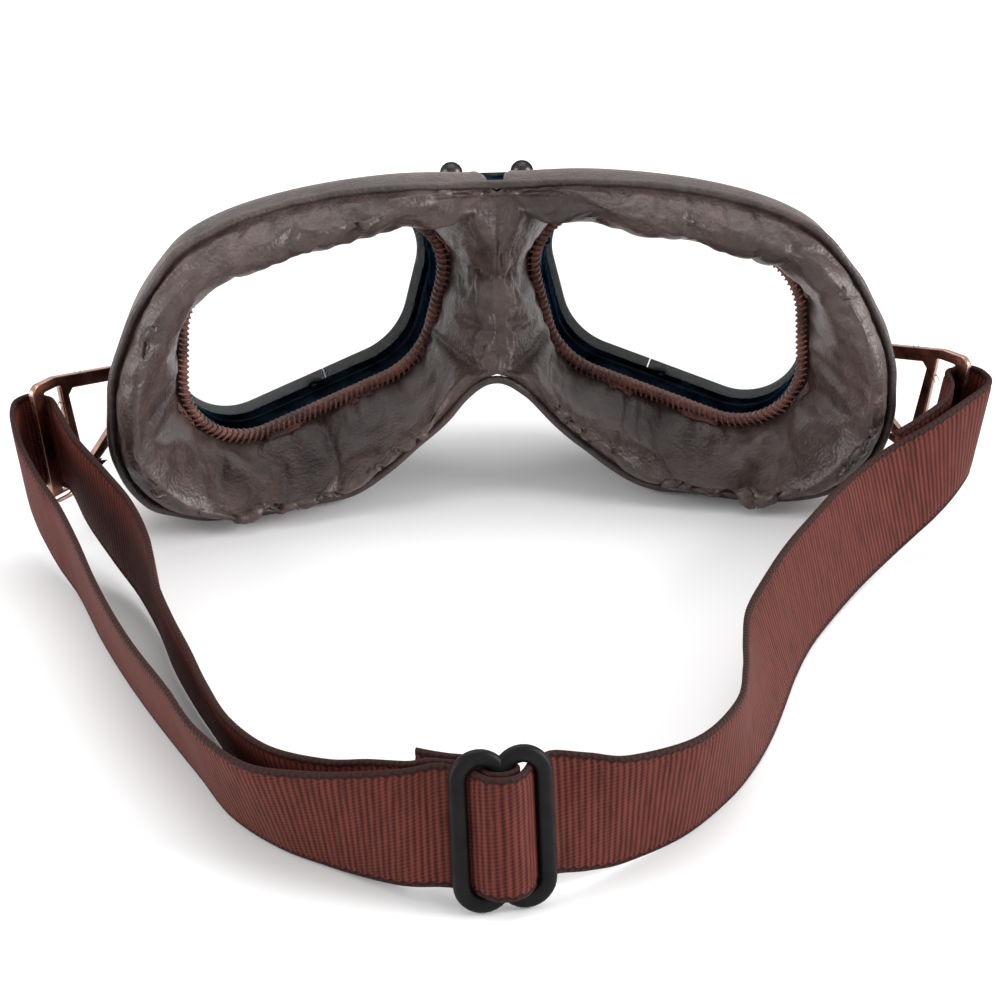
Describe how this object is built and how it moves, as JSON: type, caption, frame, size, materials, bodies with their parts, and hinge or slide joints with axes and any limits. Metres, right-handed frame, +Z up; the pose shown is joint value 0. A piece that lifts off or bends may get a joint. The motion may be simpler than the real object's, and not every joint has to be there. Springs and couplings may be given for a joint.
{
  "type": "motorcycle goggles",
  "caption": "Aviator style goggles: hinged metal eye frames with glass lenses in a padded leather mask, with an adjustable elastic strap on hinged brackets.",
  "frame": {"origin": "centre of the footprint on the surface that the cheeks and the strap stand on", "axes": "+Z up, -Y the way the lenses face, +Y towards the back of the head, +X the wearer's left"},
  "size_m": [0.2196, 0.2274, 0.078],
  "materials": {
    "dark_leather": "semi-gloss grained",
    "foam": "open-cell foam",
    "webbing": "woven elastic",
    "thread": "twisted thread",
    "gunmetal": "polished black nickel",
    "copper": "antique copper plate",
    "steel_screw": "bright",
    "lens_glass": "clear",
    "black_metal": "satin black"
  },
  "bodies": {
    "mask": {"bridge_bar": "gunmetal", "left_bridge_pin": "steel_screw", "right_bridge_pin": "steel_screw", "face_pad_cover": "dark_leather", "foam_core": "foam", "leather_skirt": "dark_leather", "welt_piping": "dark_leather", "elastic_strap": "webbing", "strap_end_stitching": "thread", "slider_end_stitching": "thread"},
    "left_frame": {"left_eye_frame": "gunmetal", "left_front_rim": "gunmetal", "left_lens": "lens_glass", "left_rim_screw": "steel_screw", "left_bracket_pin": "copper", "left_eye_binding": "thread", "left_lacing_thread": "thread"},
    "right_frame": {"right_eye_frame": "gunmetal", "right_front_rim": "gunmetal", "right_lens": "lens_glass", "right_rim_screw": "steel_screw", "right_bracket_pin": "copper", "right_eye_binding": "thread", "right_lacing_thread": "thread"},
    "left_bracket": {"left_strap_bracket": "copper"},
    "right_bracket": {"right_strap_bracket": "copper"},
    "slider": {"strap_slider": "black_metal"}
  },
  "joints": [
    {"name": "left_bridge_hinge", "type": "hinge", "parent": "mask", "child": "left_frame", "pos_m": [0.0082, -0.1045, 0.0562], "axis": [0, 0, 1], "range_deg": [-8, 8], "stiffness_Nm_per_rad": 0.6, "deforming": ["face_pad_cover", "leather_skirt", "foam_core", "welt_piping", "elastic_strap"]},
    {"name": "right_bridge_hinge", "type": "hinge", "parent": "mask", "child": "right_frame", "pos_m": [-0.0082, -0.1045, 0.0562], "axis": [0, 0, 1], "range_deg": [-8, 8], "stiffness_Nm_per_rad": 0.6, "deforming": ["face_pad_cover", "leather_skirt", "foam_core", "welt_piping", "elastic_strap"]},
    {"name": "left_bracket_hinge", "type": "hinge", "parent": "left_frame", "child": "left_bracket", "pos_m": [0.0777, -0.0855, 0.0282], "axis": [0, 0, 1], "range_deg": [-50, 8], "deforming": ["elastic_strap", "strap_end_stitching"]},
    {"name": "right_bracket_hinge", "type": "hinge", "parent": "right_frame", "child": "right_bracket", "pos_m": [-0.0777, -0.0855, 0.0282], "axis": [0, 0, 1], "range_deg": [-8, 50], "deforming": ["elastic_strap", "strap_end_stitching"]},
    {"name": "slider_slide", "type": "slide", "parent": "mask", "child": "slider", "axis": [0.9877, 0.1564, 0], "range_m": [-0.01, 0.01], "deforming": ["elastic_strap", "slider_end_stitching"]}
  ]
}
